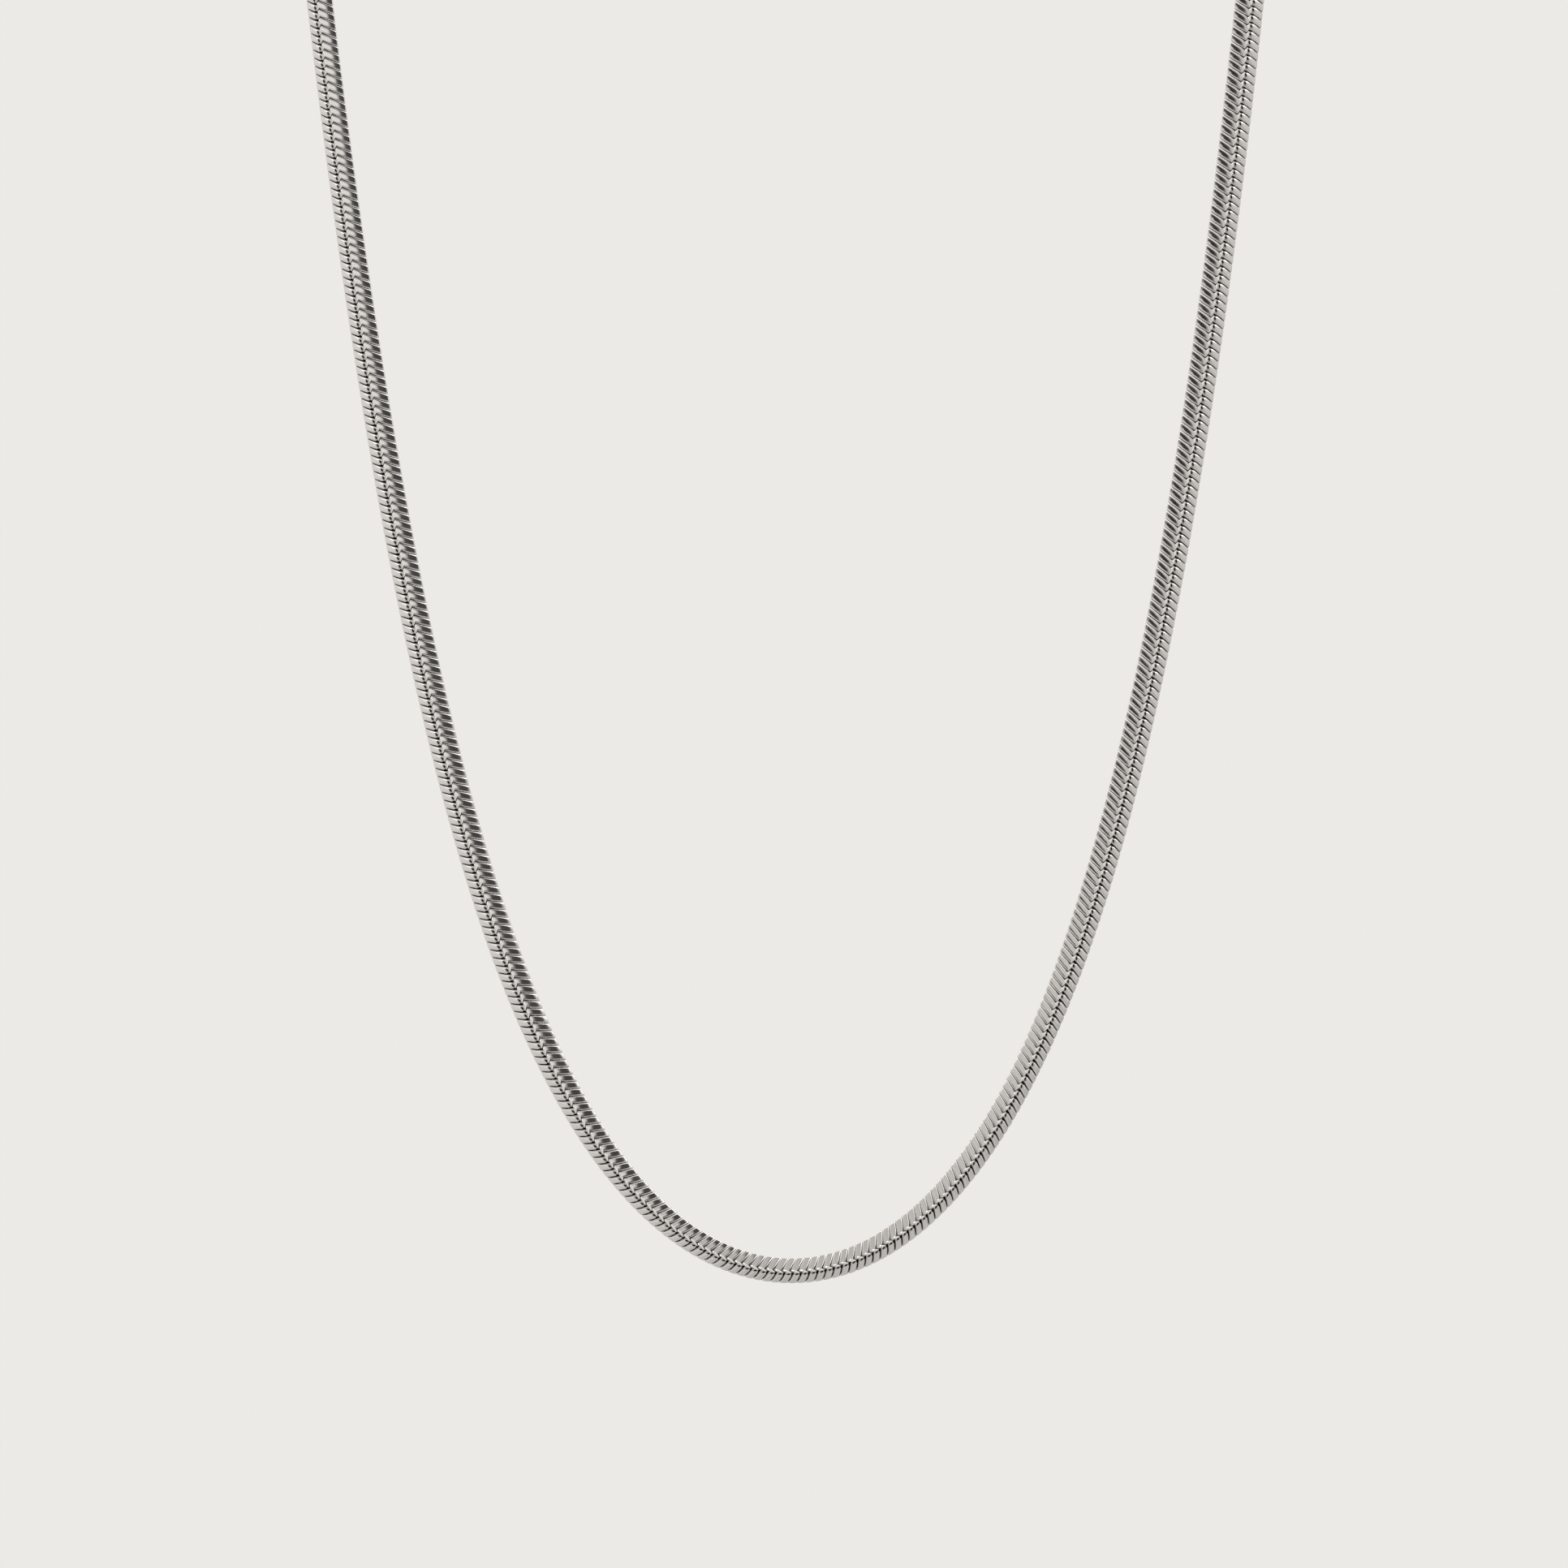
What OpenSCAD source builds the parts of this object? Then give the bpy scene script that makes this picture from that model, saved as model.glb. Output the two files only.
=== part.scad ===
// Square snake chain necklace, kept as it hangs from a neck.
// Millimetres, +Z up, the front of the chest towards -Y. The origin is the middle of the neck's hollow,
// level with the stretch that lies on the neck.

/* [Necklace] */
// Length once round, with the clasp
necklace_l = 559; // [520:1:620]
// Thickness of the chain across its flats
chain_w = 2.5; // [1.6:0.1:3.2]
// Width of the narrow flat along each corner of the chain
corner_w = 0.3; // [0.1:0.05:0.6]
// Turn of the corner that faces forwards, towards the outside of the loop, in degrees
corner_turn = 10; // [0:1:45]

/* [Hang] */
// Radius of the lowest bend
low_bend_r = 18.75; // [14:0.25:24]
// Height of the hang, as a share of a limp chain's, because this one is a little stiff
height_share = 0.976; // [0.9:0.002:1]
// Radius of the bend from each arm to the back of the neck
shoulder_r = 12; // [8:1:18]

/* [Clasp] */
// Length of the barrel
clasp_l = 14; // [12:0.5:18]
// Wall of the barrel round each socket
clasp_wall = 0.9; // [0.8:0.1:1.4]
// Radius of the barrel's rounded rims
clasp_rim_r = 0.7; // [0.2:0.1:0.7]
// Depth of the socket in each end of the barrel
socket_depth = 5; // [3:0.5:5.5]
// Clearance between the chain's corners and the socket's wall
socket_gap = 0.1; // [0.05:0.05:0.3]
// Clearance between the chain's end and the socket's floor
end_gap = 0.3; // [0.1:0.1:0.5]
// Straight stretch of chain beyond each end of the barrel
straight_run = 2; // [1:0.5:4]

/* [Hidden] */

silver = [0.80, 0.80, 0.79];

// Sampling of the solid chain: rings along the front, one shoulder bend and one back quarter
front_rings = 49;
shoulder_rings = 5;
back_rings = 7;
// Share of the ring spacing at the lowest bend, where the rings stand closest
low_spacing = 0.6;
// How far a cut runs past the face that it opens
cut_over = 1;
// Steps of the sum that measures an arm, and of the search for its end
length_steps = 60;
search_steps = 30;
// Slopes at the top of an arm that the search looks between
slope_low = 1;
slope_high = 60;

// The hanging curve is x = hang_a * asinh(u), z = height_share * hang_a * (sqrt(1 + u^2) - 1)
hang_a = low_bend_r * height_share;
nape_l = clasp_l + 2 * straight_run;

function asinh(u) = ln(u + sqrt(u * u + 1));
function total(v, i = 0) = i < len(v) ? v[i] + total(v, i + 1) : 0;
function hang_height(u) = height_share * hang_a * (sqrt(1 + u * u) - 1);

// Length of one arm from the lowest point to slope u
function arm_l(u) =
    let (step = u / length_steps)
    hang_a * step * total([
        for (i = [0.5 : length_steps])
            sqrt((1 + pow(height_share * i * step, 2)) / (1 + pow(i * step, 2)))
    ]);

// Lean of the arm from the vertical at slope u, and half the width that the two sides then have
function lean(u) = atan(1 / (height_share * u));
function side_x(u) = hang_a * asinh(u) + shoulder_r * sin(lean(u));
function once_round(u) =
    2 * arm_l(u) + PI * shoulder_r + PI * (side_x(u) - nape_l / 2) + nape_l;

// Slope at which the arms end, found by halving, so that the whole loop has its length
function arm_end(low, high, n = search_steps) =
    let (mid = (low + high) / 2)
    n == 0 ? mid
    : once_round(mid) < necklace_l ? arm_end(mid, high, n - 1)
    : arm_end(low, mid, n - 1);

end_u = arm_end(slope_low, slope_high);
end_lean = lean(end_u);
back_r = side_x(end_u) - nape_l / 2;
low_z = -shoulder_r * cos(end_lean) - hang_height(end_u);
chain_end_x = clasp_l / 2 - socket_depth + end_gap;

// A station is [place, direction of travel, direction that faces outwards from the neck]
function front_station(t) =
    let (u = end_u * (low_spacing * t + (1 - low_spacing) * pow(t, 3)))
    let (travel = [1, 0, height_share * u])
    [[hang_a * asinh(u), -shoulder_r, low_z + hang_height(u)], travel / norm(travel), [0, -1, 0]];

function shoulder_station(turn) =
    let (up = [sin(end_lean), 0, cos(end_lean)])
    let (foot = [hang_a * asinh(end_u), -shoulder_r, low_z + hang_height(end_u)])
    [
        foot + shoulder_r * (sin(turn) * up + [0, 1 - cos(turn), 0]),
        cos(turn) * up + [0, sin(turn), 0],
        sin(turn) * up - [0, cos(turn), 0]
    ];

function back_station(turn) = [
    [nape_l / 2 + back_r * cos(turn), back_r * sin(turn), 0],
    [-sin(turn), cos(turn), 0],
    [sin(end_lean) * cos(turn), sin(end_lean) * sin(turn), cos(end_lean)]
];

end_station = [[chain_end_x, back_r, 0], [-1, 0, 0], [0, sin(end_lean), cos(end_lean)]];

// The wearer's other side is the mirror image, travelled the other way
function mirrored(s) = [
    [-s[0].x, s[0].y, s[0].z],
    [s[1].x, -s[1].y, -s[1].z],
    [-s[2].x, s[2].y, s[2].z]
];

right_side = concat(
    [for (i = [1 : shoulder_rings]) shoulder_station(90 * i / shoulder_rings)],
    [for (i = [1 : back_rings]) back_station(90 * i / back_rings)],
    [end_station]
);
left_side = [for (i = [len(right_side) - 1 : -1 : 0]) mirrored(right_side[i])];
route = concat(
    left_side,
    [for (i = [0 : front_rings]) front_station(2 * i / front_rings - 1)],
    right_side
);

// Square section with its corners cut flat, as distances along the outward and the outer side's axes
corner_cut = corner_w / sqrt(2);
square_corners = [
    for (side = [0 : 3], end = [-1, 1])
        let (half = chain_w / 2)
        let (along = end < 0 ? [half, half - corner_cut] : [half - corner_cut, half])
        let (turn = 90 * side - 45 + corner_turn)
        [along.x * cos(turn) - along.y * sin(turn), along.x * sin(turn) + along.y * cos(turn)]
];
chain_reach = norm([chain_w / 2, chain_w / 2 - corner_cut]);
socket_r = chain_reach + socket_gap;
clasp_r = socket_r + clasp_wall;

module snake_chain() {
    n = len(square_corners);
    rings = len(route);
    points = [
        for (s = route, c = square_corners)
            s[0] + c.x * s[2] + c.y * cross(s[1], s[2])
    ];
    sides = [
        for (j = [0 : rings - 2], i = [0 : n - 1])
            let (k = (i + 1) % n)
            [j * n + i, (j + 1) * n + i, (j + 1) * n + k, j * n + k]
    ];
    ends = [
        [for (i = [0 : n - 1]) i],
        [for (i = [n - 1 : -1 : 0]) (rings - 1) * n + i]
    ];
    color(silver) polyhedron(points, concat(sides, ends), convexity = 10);
}

// Half of the barrel's lengthwise section, with a round at each rim
module barrel_outline() {
    rim_steps = 6;
    rim = [
        for (i = [0 : rim_steps])
            let (turn = 90 * i / rim_steps)
            [clasp_r - clasp_rim_r * (1 - cos(turn)), clasp_l / 2 - clasp_rim_r * (1 - sin(turn))]
    ];
    polygon(concat(
        [[0, -clasp_l / 2]],
        [for (i = [rim_steps : -1 : 0]) [rim[i].x, -rim[i].y]],
        rim,
        [[0, clasp_l / 2]]
    ));
}

module clasp() {
    translate([0, back_r, 0]) rotate([0, 90, 0]) color(silver)
    difference() {
        rotate_extrude($fn = 64) barrel_outline();
        for (end = [0, 180])
            rotate([end, 0, 0]) translate([0, 0, clasp_l / 2 - socket_depth])
            cylinder(h = socket_depth + cut_over, r = socket_r, $fn = 48);
    }
}

snake_chain();
clasp();
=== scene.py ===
import math

import bpy
import numpy as np
from mathutils import Matrix, Vector


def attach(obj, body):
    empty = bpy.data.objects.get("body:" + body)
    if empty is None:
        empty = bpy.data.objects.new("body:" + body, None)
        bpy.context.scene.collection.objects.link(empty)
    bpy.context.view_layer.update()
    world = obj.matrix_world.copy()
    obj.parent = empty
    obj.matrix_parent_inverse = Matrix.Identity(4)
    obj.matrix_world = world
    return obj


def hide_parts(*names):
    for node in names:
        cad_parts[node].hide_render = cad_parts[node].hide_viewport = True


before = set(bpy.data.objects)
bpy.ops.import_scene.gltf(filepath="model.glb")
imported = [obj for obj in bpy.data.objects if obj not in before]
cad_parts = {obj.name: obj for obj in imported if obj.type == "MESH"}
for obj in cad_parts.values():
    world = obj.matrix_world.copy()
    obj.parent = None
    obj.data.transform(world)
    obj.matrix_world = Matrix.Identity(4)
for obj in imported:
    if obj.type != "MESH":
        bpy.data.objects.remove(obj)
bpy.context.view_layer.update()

mm = 0.001
seed = 7


# A socket that can be reckoned with: an expression on it adds the Math nodes for it
class Socket:
    def __init__(self, tree, link):
        self.tree, self.link = tree, link

    def maths(self, operation, *values, clamp=False):
        node = self.tree.nodes.new("ShaderNodeMath")
        node.operation, node.use_clamp = operation, clamp
        for slot, value in zip(node.inputs, values):
            if isinstance(value, Socket):
                self.tree.links.new(value.link, slot)
            else:
                slot.default_value = value
        return Socket(self.tree, node.outputs[0])

    def __add__(self, other): return self.maths("ADD", self, other)
    def __sub__(self, other): return self.maths("SUBTRACT", self, other)
    def __mul__(self, other): return self.maths("MULTIPLY", self, other)
    def __truediv__(self, other): return self.maths("DIVIDE", self, other)
    def __pow__(self, other): return self.maths("POWER", self, other)
    def __abs__(self): return self.maths("ABSOLUTE", self)
    def __neg__(self): return self.maths("SUBTRACT", 0, self)
    def __rsub__(self, other): return self.maths("SUBTRACT", other, self)
    __radd__, __rmul__ = __add__, __mul__

    # 0 below low, 1 above high, and a smooth step between them
    def rise(self, low, high):
        share = self.maths("DIVIDE", self - low, high - low, clamp=True)
        return share * share * (3 - 2 * share)


# A node tree with one method for any node: its type, its settings, then its sockets' values or links.
# A socket is called by its name without spaces, or by its place: i0, i1.
class Tree:
    def __init__(self, owner):
        owner.use_nodes = True
        self.tree = owner.node_tree
        self.tree.nodes.clear()

    def node(self, kind, settings=None, **values):
        made = self.tree.nodes.new(kind)
        for name, value in (settings or {}).items():
            setattr(made, name, value)
        for name, value in values.items():
            names = {s.name.replace(" ", ""): s for s in made.inputs if s.enabled}
            byPlace = name[0] == "i" and name[1:].isdigit()
            slot = made.inputs[int(name[1:])] if byPlace else names[name]
            if isinstance(value, Socket):
                self.tree.links.new(value.link, slot)
            else:
                slot.default_value = value
        return made

    def out(self, made, name=0):
        return Socket(self.tree, made.outputs[name])

    def mix(self, factor, a, b):
        made = self.node("ShaderNodeMix", {"data_type": "RGBA"}, Factor=factor, A=a, B=b)
        return self.out(made, 2)


camera = {
    "distance": 1.8,            # from the front of the chain, a long lens
    "frameWidth": 178.97 * mm,  # what the picture takes in at the front of the chain
    "frontY": -12 * mm,
    "aim": (-0.63 * mm, -116.7 * mm),
    "roll": -0.338,             # in degrees
    "sensorWidth": 36,
    "clip": (0.05, 20),
}


def makeCamera(c):
    data = bpy.data.cameras.new("photoCamera")
    data.sensor_width = c["sensorWidth"]
    data.lens = data.sensor_width * c["distance"] / c["frameWidth"]
    data.clip_start, data.clip_end = c["clip"]
    eye = bpy.data.objects.new("photoCamera", data)
    eye.location = (c["aim"][0], c["frontY"] - c["distance"], c["aim"][1])
    bpy.context.scene.collection.objects.link(eye)
    level = Matrix.Rotation(math.radians(90), 4, "X")
    eye.matrix_world = (Matrix.Translation(eye.location) @ level
                        @ Matrix.Rotation(math.radians(c["roll"]), 4, "Z"))
    bpy.context.scene.camera = eye


makeCamera(camera)
print("camera placed")


chain = {
    # the hang, the same as in the solid chain
    "loopLength": 559 * mm,
    "lowBend": 18.75 * mm,
    "heightShare": 0.976,
    "shoulderBend": 12 * mm,
    "claspLength": 14 * mm,
    "straightRun": 2 * mm,
    "socketDepth": 5 * mm,
    "endGap": 0.3 * mm,
    # how finely the route is sampled, and the slopes that the search for an arm's end looks between
    "sumSteps": 2000, "frontSteps": 1200, "shoulderSteps": 120, "backSteps": 300, "runSteps": 40,
    "searchSteps": 40, "slopes": (1.0, 60.0),
    # the section and the zigzag of a link
    "pitch": 0.934 * mm,
    "halfWidth": 1.28 * mm,
    "cornerRound": 0.38 * mm,
    "sideEase": 7,          # half of the angle that a flat side turns through, in degrees
    "slant": 0.55,          # run along the chain for each step across it
    "kneeTurn": 24,         # angle from the corner to each knee of the zigzag
    "step": 0.8,            # step back between the knees, in pitches
    # Stations round the link from its outer side past the front corner and on round the back: the direction
    # of the place, the direction that the metal faces there, how much the leading and the trailing edge are
    # cut back (pitches), the painted shade of the gap (1 bright, 0 black, below 0 black sooner), the lean of
    # the crown (degrees) and the width of the rim (pitches)
    "stations": (
        (90, 90, 0.02, 0.00, 0.6, 3, 0.2),
        (68, 72, 0.05, 0.00, 0.3, 3, 0.2),
        (52, 54, 0.07, 0.00, 0.15, 3, 0.2),
        (41.5, 39, 0.18, 0.00, -0.8, 16, 0.2),   # the wedge-shaped gap beside the seam
        (38, 32, 0.38, 0.00, -1.5, 30, 0.17),
        (28, 22, 0.42, 0.00, -1.5, 34, 0.17),
        (14, 12, 0.14, 0.00, 0.1, 16, 0.16),     # across the seam
        (-12, -12, 0.09, 0.00, 0.2, 16, 0.16),
        (-28, -28, 0.12, 0.03, -0.8, 12, 0.2),   # the small gap on its other side
        (-38, -38, 0.12, 0.03, -0.8, 5, 0.24),
        (-42, -42, 0.05, 0.01, -0.2, 3, 0.26),
        (-52, -52, 0.02, 0.00, 0.15, 3, 0.24),
        (-68, -70, 0.01, 0.00, 0.4, 3, 0.2),
        (-90, -90, 0.00, 0.00, 0.7, 3, 0.2),
        (-128, -128, 0.02, 0.00, 0.8, 4, 0.28),
        (-152, -152, 0.2, 0.00, 0.0, 20, 0.28),  # the back seam
        (-208, -208, 0.05, 0.05, 0.1, 20, 0.28),
        (-218, -218, 0.03, 0.02, 0.4, 6, 0.28),
        (-232, -232, 0.01, 0.00, 0.8, 3, 0.28),
        (-250, -250, 0.00, 0.00, 1.0, 3, 0.28)),
    "edgeLean": 58,         # lean of the metal at the very edge of a rim, in degrees
    "rimDrop": 0.06 * mm,
    "holeShade": 0.65,      # painted shade that blackens the edge where the gap is widest
    "wideGap": 0.25,        # cut back from which a gap counts as widest, in pitches
    "tongueReach": 0.25,    # how far the tongue goes under the next link, in pitches
    "tongueDepth": 0.34 * mm,
    "tongueLean": 100,
    # what varies along the chain, by distance (mm) from the lowest point: the size of the section, its turn
    # (degrees) and how far the gaps stand open, which also deepens their painted shade by its fourth power
    "girth": ((-200, 0.97), (-157, 0.97), (-107, 1.04), (-51, 1.08), (-15, 0.94), (18, 0.92), (60, 1.03),
              (106, 1.04), (150, 1.06)),
    "twist": ((-200, 12.4), (-157, 12.4), (-107, 8.4), (-51, 6.5), (0, 6), (60, 5.6), (106, 5.6), (150, 6.4)),
    "opening": ((-200, 1), (-75, 1), (-35, 1.05), (-12, 1.08), (15, 1.06), (45, 1.02), (150, 1.04)),
    "openingShade": 4,
    "play": 0.4,            # spread of the links' own turns, in degrees
}


# The route of the loop from its lowest point up the right side to the chain's end: a hanging curve
# x = a asinh(u), z = k a (sqrt(1 + u u) - 1), a quarter bend over the shoulder, a quarter round the
# back and a straight run. Returns points, directions of travel and outward directions, closely spaced.
def rightHalf(c):
    k, bend = c["heightShare"], c["shoulderBend"]
    a = c["lowBend"] * k
    nape = c["claspLength"] + 2 * c["straightRun"]

    def armLength(u):
        t = (np.arange(c["sumSteps"]) + 0.5) * u / c["sumSteps"]
        return a * (np.sqrt((1 + (k * t) ** 2) / (1 + t * t))).mean() * u

    def onceRound(u):
        sideX = a * math.asinh(u) + bend * math.sin(math.atan(1 / (k * u)))
        return 2 * armLength(u) + math.pi * (bend + sideX - nape / 2) + nape

    low, high = c["slopes"]
    for _ in range(c["searchSteps"]):
        u = (low + high) / 2
        low, high = (u, high) if onceRound(u) < c["loopLength"] else (low, u)
    lean = math.atan(1 / (k * u))
    topX, topZ = a * math.asinh(u), k * a * (math.sqrt(1 + u * u) - 1)
    backR = topX + bend * math.sin(lean) - nape / 2
    lowZ = -bend * math.cos(lean) - topZ
    up = np.array([math.sin(lean), 0, math.cos(lean)])
    yAxis = np.array([0, 1.0, 0])

    t = np.sinh(np.linspace(0, math.asinh(u), c["frontSteps"]))[:, None]
    ones = np.ones_like(t)
    front = (np.hstack([a * np.arcsinh(t), -bend * ones, lowZ + k * a * (np.sqrt(1 + t * t) - 1)]),
             np.hstack([ones, 0 * t, k * t]), np.hstack([0 * t, -ones, 0 * t]))
    turn = np.linspace(0, math.pi / 2, c["shoulderSteps"])[1:, None]
    foot = np.array([topX, -bend, topZ + lowZ])
    shoulder = (foot + bend * (np.sin(turn) * up + (1 - np.cos(turn)) * yAxis),
                np.cos(turn) * up + np.sin(turn) * yAxis, np.sin(turn) * up - np.cos(turn) * yAxis)
    turn = np.linspace(0, math.pi / 2, c["backSteps"])[1:, None]
    flat = 0 * turn
    back = (np.hstack([nape / 2 + backR * np.cos(turn), backR * np.sin(turn), flat]),
            np.hstack([-np.sin(turn), np.cos(turn), flat]),
            np.hstack([up[0] * np.cos(turn), up[0] * np.sin(turn), up[2] + flat]))
    endX = c["claspLength"] / 2 - c["socketDepth"] + c["endGap"]
    x = np.linspace(nape / 2, endX, c["runSteps"])[1:, None]
    run = (np.hstack([x, backR + 0 * x, 0 * x]), np.tile([-1.0, 0, 0], (len(x), 1)),
           np.tile([0, up[0], up[2]], (len(x), 1)))
    return [np.vstack(part) for part in zip(front, shoulder, back, run)]


# Places and axes of the links: the half loop is measured off in equal steps both ways from its lowest
# point, and the wearer's other side is its mirror image, travelled the other way.
def linkPlaces(c):
    points, travel, outward = rightHalf(c)
    far = np.concatenate([[0], np.cumsum(np.linalg.norm(np.diff(points, axis=0), axis=1))])
    count = round(2 * far[-1] / c["pitch"])
    step = 2 * far[-1] / count
    place = (np.arange(count) - (count - 1) / 2) * step

    def atLinks(table):
        return np.stack([np.interp(abs(place), far, column) for column in table.T], 1)
    points, travel, outward = atLinks(points), atLinks(travel), atLinks(outward)
    left = (place < 0)[:, None]
    points = np.where(left, points * [-1, 1, 1], points)
    travel = np.where(left, travel * [1, -1, -1], travel)
    outward = np.where(left, outward * [-1, 1, 1], outward)
    travel /= np.linalg.norm(travel, axis=1)[:, None]
    outward -= (outward * travel).sum(1)[:, None] * travel
    outward /= np.linalg.norm(outward, axis=1)[:, None]
    return place, step, points, travel, outward


# Outline of the chain's section at the direction alpha that it faces, in radians: each of the four sides
# is a shallow arc and each corner a tight one, and they meet smoothly.
def sectionPoint(c, alpha):
    half, tight, ease = c["halfWidth"], c["cornerRound"], math.radians(c["sideEase"])
    sin, cos = math.sin(ease), math.cos(ease)
    shallow = (half + tight * (sin - cos)) / (1 + sin - cos)
    side = np.pi / 4 + np.floor(alpha / (np.pi / 2)) * np.pi / 2
    turn = alpha - side
    onSide = abs(turn) <= ease
    radius = np.where(onSide, shallow, tight)
    centreX = np.where(onSide, half - shallow, (shallow - tight) * sin)
    centreY = np.where(onSide, 0, np.sign(turn) * (shallow - tight) * sin)
    x, y = centreX + radius * np.cos(turn), centreY + radius * np.sin(turn)
    return x * np.cos(side) - y * np.sin(side), x * np.sin(side) + y * np.cos(side)


# One link, as a closed ring of stations with a five-sided section at each. Its line round the chain is
# slant times the distance towards the inner side of the loop, with a step back at the front corner and at
# the back corner. Returns vertices, normals and marks for the silver, station by section point: the crown
# is 1 on the bright metal and lower in a gap, where it paints shade, across and along give the place on the
# band.
def linkShape(c, pitch, opening):
    turn, faces, early, late, hole, crown, rim = np.array(c["stations"], float).T
    early, hole = early * opening, 1 - (1 - hole) * opening ** c["openingShade"]
    beta = np.where(turn < -90, -180 - turn, turn)  # angle from the front or back corner to the outer side
    offCorner = 1e-4  # keeps a station on a corner inside one quarter of the section
    x, y = sectionPoint(c, np.radians(turn + offCorner))
    faces, one, knee = np.radians(faces), np.ones_like(x), c["kneeTurn"]
    middle = -c["slant"] * y + pitch * c["step"] * np.interp(beta, [-knee, knee], [-0.5, 0.5])
    face = np.stack([np.cos(faces), np.sin(faces), 0 * faces], 1)
    along = np.array([0, 0, 1.0])

    def row(shift, depth, lean):
        points = np.stack([x, y, middle + pitch * shift], 1) - depth * face
        lean = np.radians(lean * one)[:, None]
        return points, np.cos(lean) * face + np.sin(lean) * along
    back, front = late - 0.5, 0.5 - early
    rows = [row(back, c["rimDrop"], -c["edgeLean"]), row(back + rim, 0, -crown), row(front - rim, 0, crown),
            row(front, c["rimDrop"], c["edgeLean"]),
            row(front + c["tongueReach"], c["tongueDepth"], c["tongueLean"])]
    points, normals = (np.stack(part, 1) for part in zip(*rows))
    # painted shade: the leading edge row darkens where the gap is wide, and the tongue row takes the gap's
    # painted shade
    edge = 1 - c["holeShade"] * np.clip(early / c["wideGap"], 0, 1)
    marks = {"crown": np.stack([one, one, one, edge, hole], 1),
             "across": np.stack([y / mm] * len(rows), 1),
             "along": np.stack([back, back + rim, front - rim, front, 2 * front], 1)}
    return points, normals, marks


# Rings of points, link by link, station by section point, joined into closed tubes of quads. The values
# become attributes of the points.
def linkMesh(points, normals, values):
    count, stations, sides = points.shape[:3]
    j, k = np.meshgrid(np.arange(stations), np.arange(sides), indexing="ij")
    j2, k2 = (j + 1) % stations, (k + 1) % sides
    quad = np.stack([j * sides + k, j * sides + k2, j2 * sides + k2, j2 * sides + k], 2).reshape(-1, 4)
    quads = (quad[None] + np.arange(count)[:, None, None] * stations * sides).reshape(-1, 4)
    mesh = bpy.data.meshes.new("chain_links")
    mesh.vertices.add(count * stations * sides)
    mesh.vertices.foreach_set("co", points.astype(np.float32).ravel())
    mesh.loops.add(quads.size)
    mesh.loops.foreach_set("vertex_index", quads.astype(np.int32).ravel())
    mesh.polygons.add(len(quads))
    mesh.polygons.foreach_set("loop_start", (np.arange(len(quads)) * 4).astype(np.int32))
    mesh.update(calc_edges=True)
    mesh.validate()
    mesh.polygons.foreach_set("use_smooth", np.ones(len(quads), bool))
    mesh.normals_split_custom_set_from_vertices(normals.reshape(-1, 3).astype(np.float32))
    for name, value in values.items():
        mesh.attributes.new(name, "FLOAT", "POINT").data.foreach_set("value", value.astype(np.float32))
    print(f"chain of {count} links, {len(quads) * 2} triangles")
    return mesh


# All links as one mesh: a link between the shape with the least and the one with the most open gaps, carried
# to every place by its three axes.
def makeLinks(c):
    place, step, points, travel, outward = linkPlaces(c)

    def alongChain(name):
        return np.interp(place / mm, *np.array(c[name], float).T)
    stops = [stop[1] for stop in c["opening"]]
    least, most = min(stops), max(stops)
    shape, normals, marks = linkShape(c, step, least)
    openShape, _, openMarks = linkShape(c, step, most)
    count, (stations, sides) = len(place), shape.shape[:2]
    share = ((alongChain("opening") - least) / (most - least))[:, None, None]
    rng = np.random.default_rng(seed)
    turn = np.radians(alongChain("twist") + rng.normal(0, c["play"], count))[:, None]
    other = np.cross(travel, outward)
    cos, sin = np.cos(turn), np.sin(turn)
    axes = np.stack([outward * cos + other * sin, other * cos - outward * sin, travel], 1)
    girth = alongChain("girth")
    opened = shape + (openShape - shape) * share[..., None]
    sized = opened * np.stack([girth, girth, np.ones(count)], 1)[:, None, None]
    carried = np.einsum("ijkm,imn->ijkn", sized, axes) + points[:, None, None]
    turned = np.einsum("jkm,imn->ijkn", normals, axes)
    values = {name: (mark + (openMarks[name] - mark) * share).ravel() for name, mark in marks.items()}
    values["luck"] = np.repeat(rng.random(count), stations * sides)
    piece = bpy.data.objects.new("chain_links", linkMesh(carried, turned, values))
    bpy.context.scene.collection.objects.link(piece)
    return piece


links = makeLinks(chain)
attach(links, "root")
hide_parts("snake_chain")


chainSilver = {
    "bright": (0.86, 0.85, 0.83, 1), "tarnish": (0.012, 0.011, 0.010, 1),
    "rough": 0.07, "cloud": 0.05, "play": 0.03, "gapRough": 0.4,
    "cloudScale": 900.0, "cloudDetail": 3.0,
    "metalEdge": (0.15, 0.75),  # crown values over which the painted gap shade goes from black to bright
    # a round dimple in each band beside the front seam, a small dent painted black as shade: its place and its
    # size across (mm) and along (pitches)
    "dimple": (0.3, -0.18), "dimpleSize": (0.17, 0.25), "dimpleEdge": (0.5, 1.2), "dimpleDepth": 0.04 * mm,
}
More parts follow.
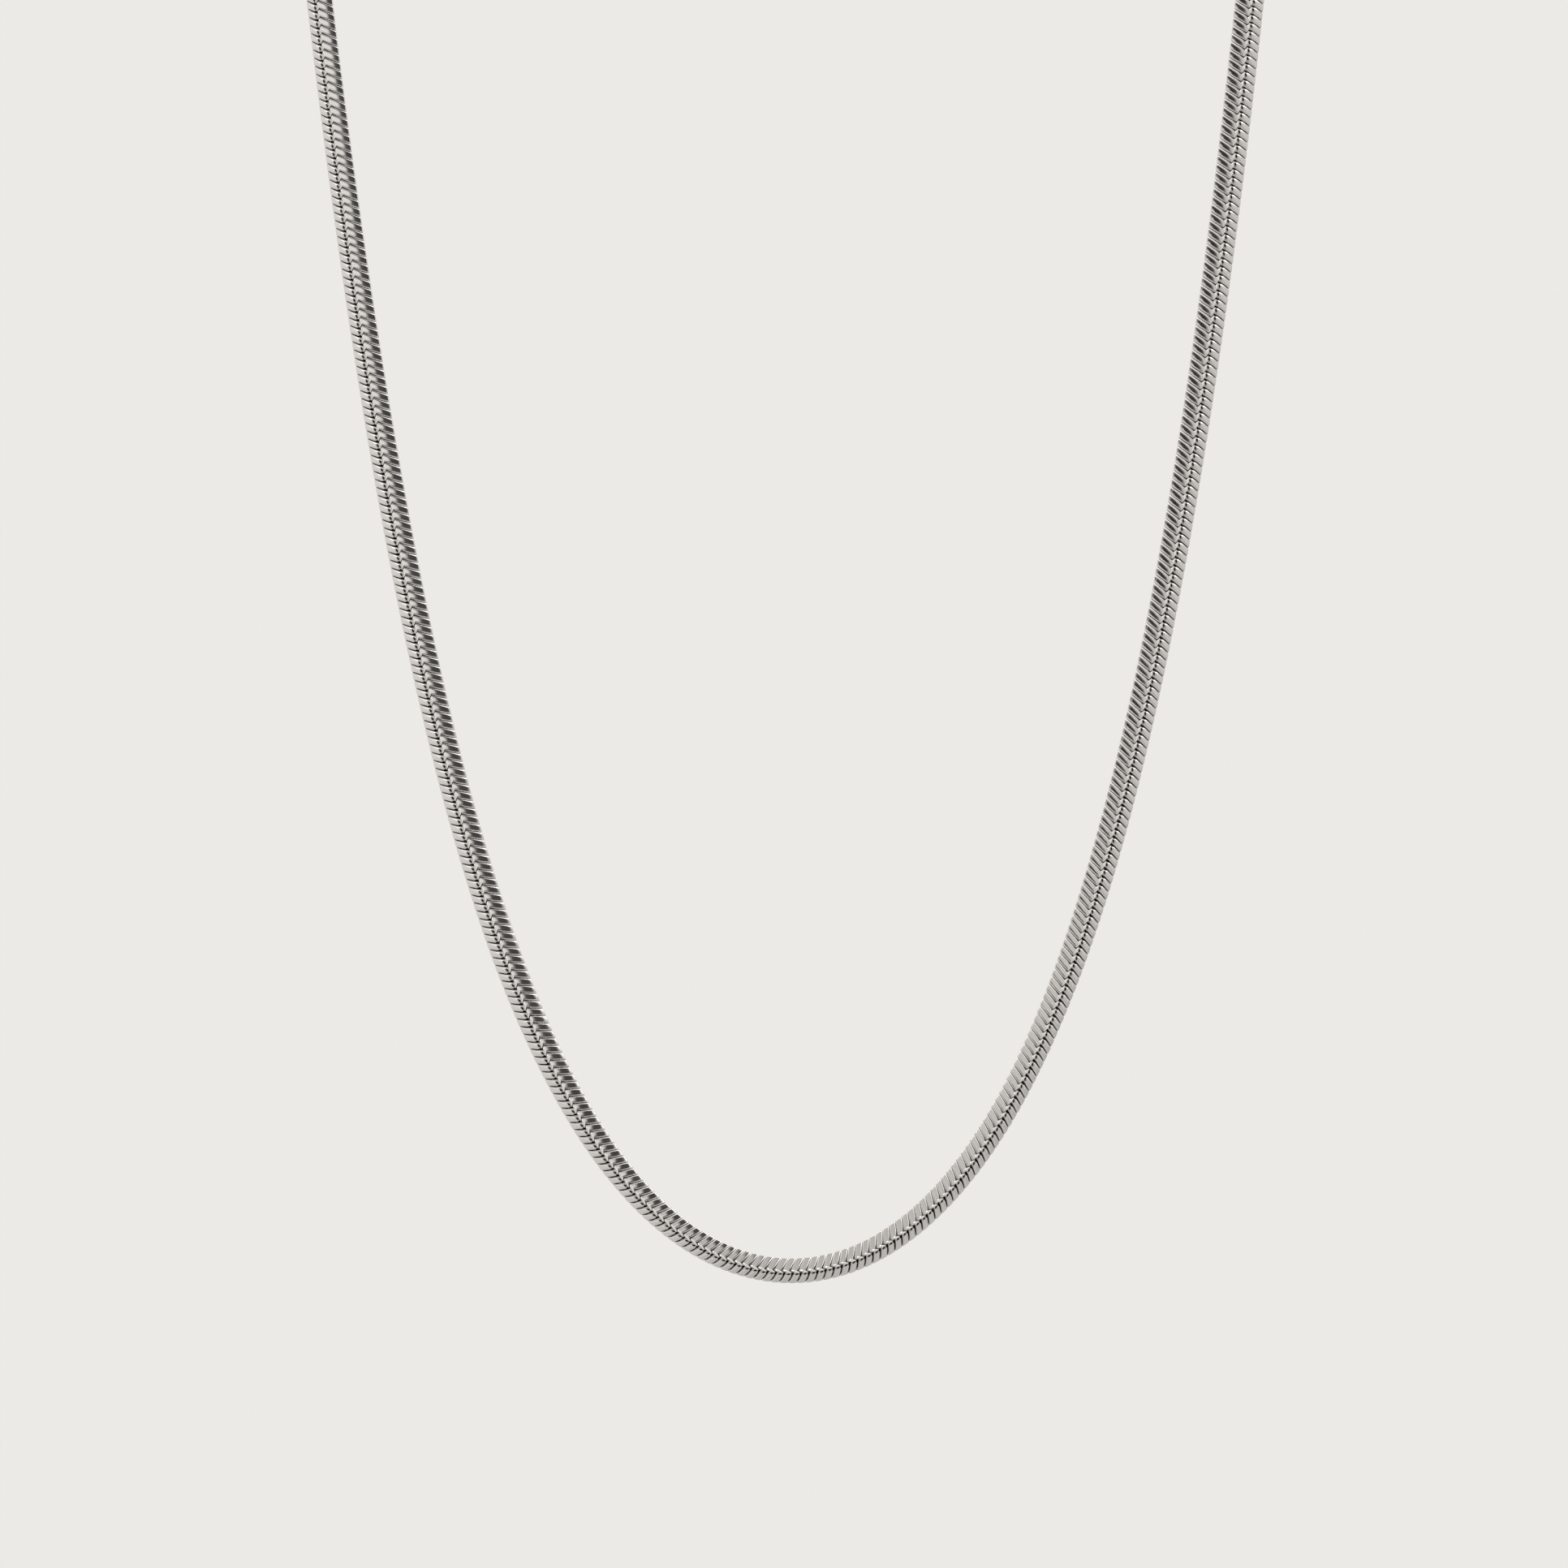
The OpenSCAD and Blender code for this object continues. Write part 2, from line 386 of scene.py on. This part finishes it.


# Polished silver: bright on the metal, with painted shade that blackens the gaps and the dimple, a little
# rougher in cloudy patches and from link to link.
def makeChainSilver(c):
    m = bpy.data.materials.new("polishedLinkSilver")
    t = Tree(m)
    crown, luck, across, along = (t.out(t.node("ShaderNodeAttribute", {"attribute_name": name}), "Fac")
                                  for name in ("crown", "luck", "across", "along"))
    place = t.out(t.node("ShaderNodeTexCoord"), "Object")
    cloud = t.out(t.node("ShaderNodeTexNoise", None, Vector=place, Scale=c["cloudScale"],
                         Detail=c["cloudDetail"]), "Fac")
    (middleU, middleV), (sizeU, sizeV) = c["dimple"], c["dimpleSize"]
    u, v = (across - middleU) / sizeU, (along - middleV) / sizeV
    level = ((u * u + v * v) ** 0.5).rise(*c["dimpleEdge"])
    # painted shade: the colour turns near-black, with no specular sheen, in the gaps and in the dimple
    metal = crown.rise(*c["metalEdge"]) * level
    colour = t.mix(metal, c["tarnish"], c["bright"])
    rough = c["rough"] + cloud * c["cloud"] + luck * c["play"] + (1 - metal) * c["gapRough"]
    dent = t.out(t.node("ShaderNodeBump", None, Distance=c["dimpleDepth"], Height=level))
    shader = t.node("ShaderNodeBsdfPrincipled", None, BaseColor=colour, Roughness=rough, Metallic=metal,
                    SpecularIORLevel=0.0, Normal=dent)
    t.node("ShaderNodeOutputMaterial", None, Surface=t.out(shader))
    return m


links.data.materials.append(makeChainSilver(chainSilver))


claspSilver = {
    "bright": (0.86, 0.85, 0.83, 1), "worn": (0.78, 0.77, 0.75, 1),
    "rough": 0.12, "cloud": 0.1, "scratchRough": 0.12,
    "cloudScale": 300.0, "cloudDetail": 4.0, "cloudEdge": (0.5, 0.8), "cloudWear": 0.4,
    "scratchScale": (160.0, 5200.0, 5200.0),  # fine scratches run along the barrel
    "scratchDetail": 2.0, "scratchEdge": (0.6, 0.75), "scratchWear": 0.5,
    "scratchDepth": 0.01 * mm, "scratchStrength": 0.4,
}


# Polished silver with wear: fine scratches along the barrel and cloudy patches where fingers hold it.
def makeClaspSilver(c):
    m = bpy.data.materials.new("polishedClaspSilver")
    t = Tree(m)
    place = t.out(t.node("ShaderNodeTexCoord"), "Object")
    cloud = t.out(t.node("ShaderNodeTexNoise", None, Vector=place, Scale=c["cloudScale"],
                         Detail=c["cloudDetail"]), "Fac")
    grain = t.out(t.node("ShaderNodeVectorMath", {"operation": "MULTIPLY"}, i0=place, i1=c["scratchScale"]))
    scratch = t.out(t.node("ShaderNodeTexNoise", None, Vector=grain, Scale=1.0,
                           Detail=c["scratchDetail"]), "Fac").rise(*c["scratchEdge"])
    worn = scratch * c["scratchWear"] + cloud.rise(*c["cloudEdge"]) * c["cloudWear"]
    colour = t.mix(worn, c["bright"], c["worn"])
    rough = c["rough"] + cloud * c["cloud"] + scratch * c["scratchRough"]
    dent = t.out(t.node("ShaderNodeBump", None, Strength=c["scratchStrength"], Distance=c["scratchDepth"],
                        Height=1 - scratch))
    shader = t.node("ShaderNodeBsdfPrincipled", None, BaseColor=colour, Roughness=rough, Metallic=1.0,
                    Normal=dent)
    t.node("ShaderNodeOutputMaterial", None, Surface=t.out(shader))
    return m


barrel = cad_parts["clasp"]
barrel.data.materials.clear()
barrel.data.materials.append(makeClaspSilver(claspSilver))
print("silver made")


floor = {
    "height": -0.26, "radius": 0.5, "sides": 96,
    "pale": (0.80, 0.785, 0.755, 1), "shade": (0.76, 0.745, 0.715, 1),
    "mottleScale": 9.0, "mottleDetail": 5.0, "rough": 0.8,
    "fade": (0.3, 0.48),   # distances from the middle between which it fades into the backdrop
}


# A pale round floor far below the necklace, which fades out towards its edge.
def makeFloor(c):
    turn = np.arange(c["sides"]) * 2 * math.pi / c["sides"]
    height = np.full(c["sides"], c["height"])
    ring = np.stack([np.cos(turn) * c["radius"], np.sin(turn) * c["radius"], height], 1)
    mesh = bpy.data.meshes.new("floor")
    mesh.from_pydata(ring.tolist(), [], [list(range(c["sides"]))])
    made = bpy.data.objects.new("floor", mesh)
    bpy.context.scene.collection.objects.link(made)
    m = bpy.data.materials.new("paleFloor")
    t = Tree(m)
    place = t.out(t.node("ShaderNodeTexCoord"), "Object")
    parts = t.node("ShaderNodeSeparateXYZ", None, Vector=place)
    x, y = t.out(parts, "X"), t.out(parts, "Y")
    mottle = t.out(t.node("ShaderNodeTexNoise", None, Vector=place, Scale=c["mottleScale"],
                          Detail=c["mottleDetail"]), "Fac")
    seen = 1 - ((x * x + y * y) ** 0.5).rise(*c["fade"])
    shader = t.node("ShaderNodeBsdfPrincipled", None, BaseColor=t.mix(mottle, c["pale"], c["shade"]),
                    Roughness=c["rough"], Alpha=seen)
    t.node("ShaderNodeOutputMaterial", None, Surface=t.out(shader))
    mesh.materials.append(m)
    made.visible_glossy = False  # the silver mirrors the studio below, not this


makeFloor(floor)
print("floor laid")


studio = {
    "background": (0.838, 0.823, 0.791, 1),
    "warm": (1, 0.975, 0.945, 1),
    # brightness of the front room, of the gap's grey and dark places, and of the sweep behind
    "frontLeft": 0.62, "frontRight": 0.82, "sideGrey": 0.53,
    "dark": 0.03, "rightGrey": 0.025, "streak": 0.05,
    "backLeft": 0.76, "backRight": 0.63, "backUp": 0.9, "backDown": 0.52, "lowRightDip": 0.2,
    # angles from the camera's side at which the front room ends and the sweep begins, and how many degrees
    # later or earlier they do so above and on the left
    "frontEdge": (62, 70), "frontDelay": 17, "leftFrontDelay": 40,
    "backEdge": (86, 90), "topDelay": 9, "leftDelay": 16, "leftEarly": 4,
    # a bright strip above the sweep, weaker at the very top and on the left
    "strip": 1.2, "stripStart": (82, 88), "stripEnd": (116, 124), "topLoss": 0.6, "leftLoss": 0.2,
    # the turn round that angle, as shares across (1 is right) and up (1 is above), over which each sets in
    "frontDelayUp": (0.45, 1.1), "leftFrontDelayUp": (0.19, 0.44),
    "topDelayUp": (0.45, 0.95), "leftDelayUp": (0.12, 0.2), "leftSide": (0.3, 0.7),
    "dipRight": (0.7, 0.95), "dipDown": (0.2, 0.36),
    "stripUp": (0.3, 0.5), "topLossUp": (0.85, 0.98), "leftLossSide": (-0.1, 0.4),
    "darkSide": (-0.2, 0.2), "greyUpRight": (0.9, 1.0), "greyUpLeft": (0.24, 0.42), "greyDown": (0.2, 0.9),
    "rightGreySide": (0, 0.6), "streakUp": (0, 0.14),
    "frontSide": (-0.5, 0.5), "frontGreyUp": (0.55, 0.9), "frontGreyAngle": (52, 64),
}


# The room as the silver mirrors it, by direction: the angle from the camera's side, and the turn round it.
# In front a light room, behind a white sweep, and a gap between them that is dark on both sides.
def makeStudio(c):
    world = bpy.data.worlds.new("studio")
    bpy.context.scene.world = world
    t = Tree(world)
    towards = t.out(t.node("ShaderNodeTexCoord"), "Generated")
    parts = t.node("ShaderNodeSeparateXYZ", None, Vector=towards)
    x, y, z = (t.out(parts, name) for name in "XYZ")
    angle = y.maths("ARCCOSINE", -y) * (180 / math.pi)
    flat = (x * x + z * z + 1e-6) ** 0.5  # never quite nothing
    across, up = x / flat, z / flat
    leftwards, down = -across, -up

    def over(value, name):
        return value.rise(*c[name])
    right, left, above, below = (share.rise(0, 1) for share in (across, leftwards, up, down))
    onLeft = over(leftwards, "leftSide")

    frontLate = (c["frontDelay"] * over(up, "frontDelayUp")
                 + c["leftFrontDelay"] * onLeft * over(up, "leftFrontDelayUp"))
    beyond = over(angle - frontLate, "frontEdge")
    backLate = (c["topDelay"] * over(up, "topDelayUp")
                + (c["leftDelay"] * over(up, "leftDelayUp") - c["leftEarly"]) * onLeft)
    behind = over(angle - backLate, "backEdge")

    front = c["frontLeft"] + (c["frontRight"] - c["frontLeft"]) * over(across, "frontSide")
    front = front + (c["sideGrey"] - front) * over(up, "frontGreyUp") * over(angle, "frontGreyAngle")
    dark = (c["dark"] + c["rightGrey"] * over(across, "rightGreySide")
            + c["streak"] * (1 - over(abs(up), "streakUp")))
    grey = (1 - over(across, "darkSide") * (1 - over(up, "greyUpRight"))
            - over(leftwards, "darkSide") * (1 - over(up, "greyUpLeft")))
    gap = dark + (c["sideGrey"] - dark) * grey.maths("MAXIMUM", grey, over(down, "greyDown"))
    back = (left * c["backLeft"] + right * c["backRight"] + above * c["backUp"] + below * c["backDown"]
            ) / (right + left + above + below)
    back = back * (1 - c["lowRightDip"] * over(across, "dipRight") * over(down, "dipDown"))
    strip = (over(up, "stripUp") * (1 - c["topLoss"] * over(up, "topLossUp"))
             * (1 - c["leftLoss"] * over(leftwards, "leftLossSide"))
             * over(angle, "stripStart") * (1 - over(angle, "stripEnd")))
    back = back + strip * c["strip"]
    light = (front + (gap - front) * beyond) * (1 - behind) + back * behind

    room = t.node("ShaderNodeBackground", None, Color=c["warm"], Strength=light)
    plain = t.node("ShaderNodeBackground", None, Color=c["background"], Strength=1.0)
    seen = t.out(t.node("ShaderNodeLightPath"), "Is Camera Ray")
    both = t.node("ShaderNodeMixShader", None, i0=seen, i1=t.out(room), i2=t.out(plain))
    t.node("ShaderNodeOutputWorld", None, Surface=t.out(both))
    bpy.context.scene.view_settings.view_transform = "Standard"


makeStudio(studio)


softBox = {
    "place": (-0.25, -1.0, 0.85), "size": (0.5, 0.35), "power": 1.6, "aim": (0, 0, -0.1),
}


# A soft box above the camera, which gives the small lights on the bands' shoulders.
def makeSoftBox(c):
    data = bpy.data.lights.new("softBox", "AREA")
    data.shape, data.size, data.size_y, data.energy = "RECTANGLE", *c["size"], c["power"]
    lamp = bpy.data.objects.new("softBox", data)
    lamp.location = c["place"]
    towards = Vector(c["aim"]) - Vector(c["place"])
    lamp.rotation_euler = towards.to_track_quat("-Z", "Y").to_euler()
    lamp.visible_camera = False
    bpy.context.scene.collection.objects.link(lamp)


makeSoftBox(softBox)
print("studio lit")
